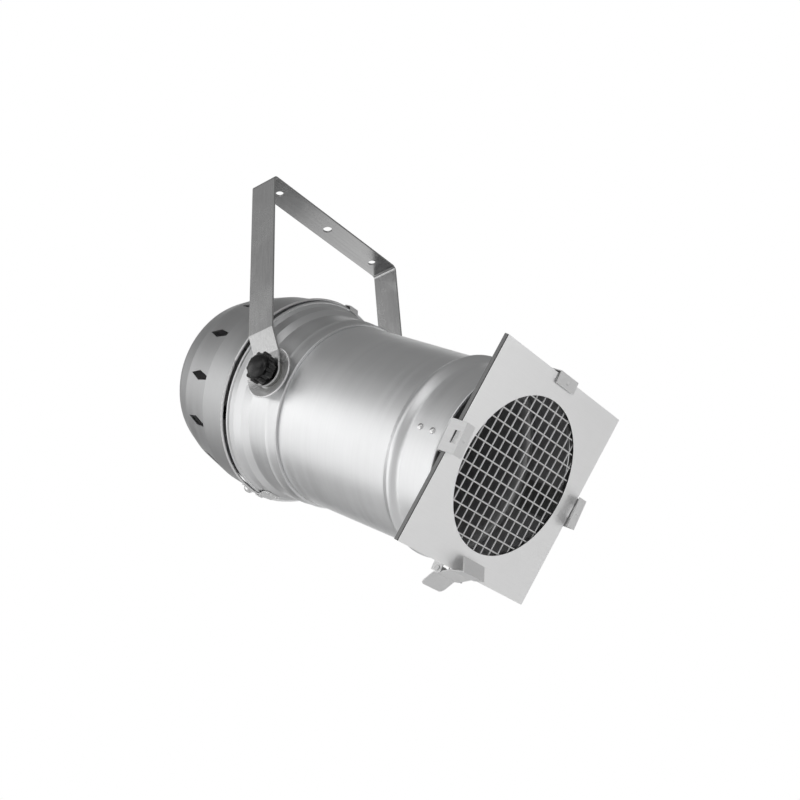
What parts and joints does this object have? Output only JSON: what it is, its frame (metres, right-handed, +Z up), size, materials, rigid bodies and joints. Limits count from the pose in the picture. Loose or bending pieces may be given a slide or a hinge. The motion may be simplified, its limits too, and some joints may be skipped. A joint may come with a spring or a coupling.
{
  "type": "par can stage light",
  "caption": "Long-nosed can spotlight in spun aluminium with a bent-bar yoke, dished tilt cups and knobs, square colour frame with mesh, frame latch and hinged vented rear cap.",
  "frame": {"origin": "centre of the clamp hole in the yoke's bar, at the middle of its thickness", "axes": "+Z up through the clamp hole, +Y to the can's left along the tilt axis, +X forwards, the way the beam points before it is tilted down"},
  "size_m": [0.5651, 0.3184, 0.5859],
  "materials": {
    "spun_aluminium": "satin, finely brushed round the can",
    "yoke_bar": "satin flat bar, brushed along its length",
    "pressed_cup": "bright pressed sheet",
    "zinc_steel": "plain zinc-plated",
    "knob_plastic": "glossy black moulding",
    "friction_fibre": "matte fibre ring",
    "clip_sheet": "satin bent sheet",
    "rivet": "bright domed rivets",
    "frame_sheet": "pale satin sheet",
    "mesh_wire": "bright round wire",
    "lamp_glass": "pressed lens",
    "lamp_mirror": "silvered inside",
    "ceramic": "matte white ceramic",
    "brass": "plain",
    "black_nylon": "matte black moulding",
    "white_plastic": "matte"
  },
  "bodies": {
    "hanger": {"yoke": "yoke_bar"},
    "can": {"barrel": "spun_aluminium", "rear_housing": "spun_aluminium", "right_cup": "pressed_cup", "left_cup": "pressed_cup", "right_spacer": "friction_fibre", "left_spacer": "friction_fibre", "right_bolt": "zinc_steel", "left_bolt": "zinc_steel", "top_clip": "clip_sheet", "right_clip": "clip_sheet", "left_clip": "clip_sheet", "clip_rivets": "rivet", "latch_bracket": "clip_sheet", "bracket_rivets": "rivet", "latch_pin": "zinc_steel", "latch_spring": "zinc_steel", "housing_hinge_leaf": "clip_sheet", "hinge_pin": "zinc_steel", "hinge_rivets": "rivet", "lamp_ring": "zinc_steel", "retaining_wire": "zinc_steel"},
    "rear_cover": {"rear_cap": "spun_aluminium", "cap_hinge_leaf": "clip_sheet", "cap_catch": "clip_sheet", "catch_rivet": "rivet", "leaf_rivet": "rivet", "cable_gland": "black_nylon", "gland_nut": "black_nylon", "earth_screw": "brass", "terminal_bracket": "zinc_steel", "terminal_block": "white_plastic"},
    "latch": {"frame_latch": "clip_sheet"},
    "colour_frame": {"frame_front": "frame_sheet", "frame_back": "frame_sheet", "safety_mesh": "mesh_wire"},
    "lamp": {"lamp_lens": "lamp_glass", "lamp_reflector": "lamp_mirror", "lamp_base": "ceramic", "lamp_blades": "brass", "lampholder": "ceramic", "holder_contacts": "brass"},
    "right_washer": {"right_washer": "zinc_steel"},
    "left_washer": {"left_washer": "zinc_steel"},
    "right_knob": {"right_knob": "knob_plastic"},
    "left_knob": {"left_knob": "knob_plastic"}
  },
  "joints": [
    {"name": "can_tilt", "type": "hinge", "parent": "hanger", "child": "can", "pos_m": [0, 0, -0.297], "axis": [0, 1, 0], "range_deg": [-80, 65]},
    {"name": "right_clamp_travel", "type": "slide", "parent": "can", "child": "right_washer", "axis": [0, -1, 0], "range_m": [0, 0.0025]},
    {"name": "right_knob_turn", "type": "hinge", "parent": "right_washer", "child": "right_knob", "pos_m": [0, -0.136, -0.297], "axis": [0, -1, 0], "range_deg": [0, 720]},
    {"name": "left_clamp_travel", "type": "slide", "parent": "can", "child": "left_washer", "axis": [0, 1, 0], "range_m": [0, 0.0025]},
    {"name": "left_knob_turn", "type": "hinge", "parent": "left_washer", "child": "left_knob", "pos_m": [0, 0.136, -0.297], "axis": [0, 1, 0], "range_deg": [0, 720]},
    {"name": "frame_slide", "type": "slide", "parent": "can", "child": "colour_frame", "axis": [-0.6428, 0, -0.766], "range_m": [0, 0.28], "deforming": ["frame_latch"]},
    {"name": "latch_open", "type": "hinge", "parent": "can", "child": "latch", "pos_m": [0.15537, 0, -0.56996], "axis": [0, 1, 0], "range_deg": [0, 35], "stiffness_Nm_per_rad": 0.15, "springref_deg": -34.38, "deforming": ["latch_spring"]},
    {"name": "cap_swing", "type": "hinge", "parent": "can", "child": "rear_cover", "pos_m": [-0.12416, 0, -0.37549], "axis": [0, -1, 0], "range_deg": [0, 90], "deforming": ["cap_catch"]},
    {"name": "lamp_turn", "type": "hinge", "parent": "can", "child": "lamp", "pos_m": [-0.04071, 0, -0.26796], "axis": [0.8141, 0, -0.5807], "range_deg": [-90, 90]}
  ],
  "couplings": [
    {"joint": "right_clamp_travel", "follows": "right_knob_turn", "m_per_rad": 0.0001989},
    {"joint": "left_clamp_travel", "follows": "left_knob_turn", "m_per_rad": 0.0001989}
  ]
}
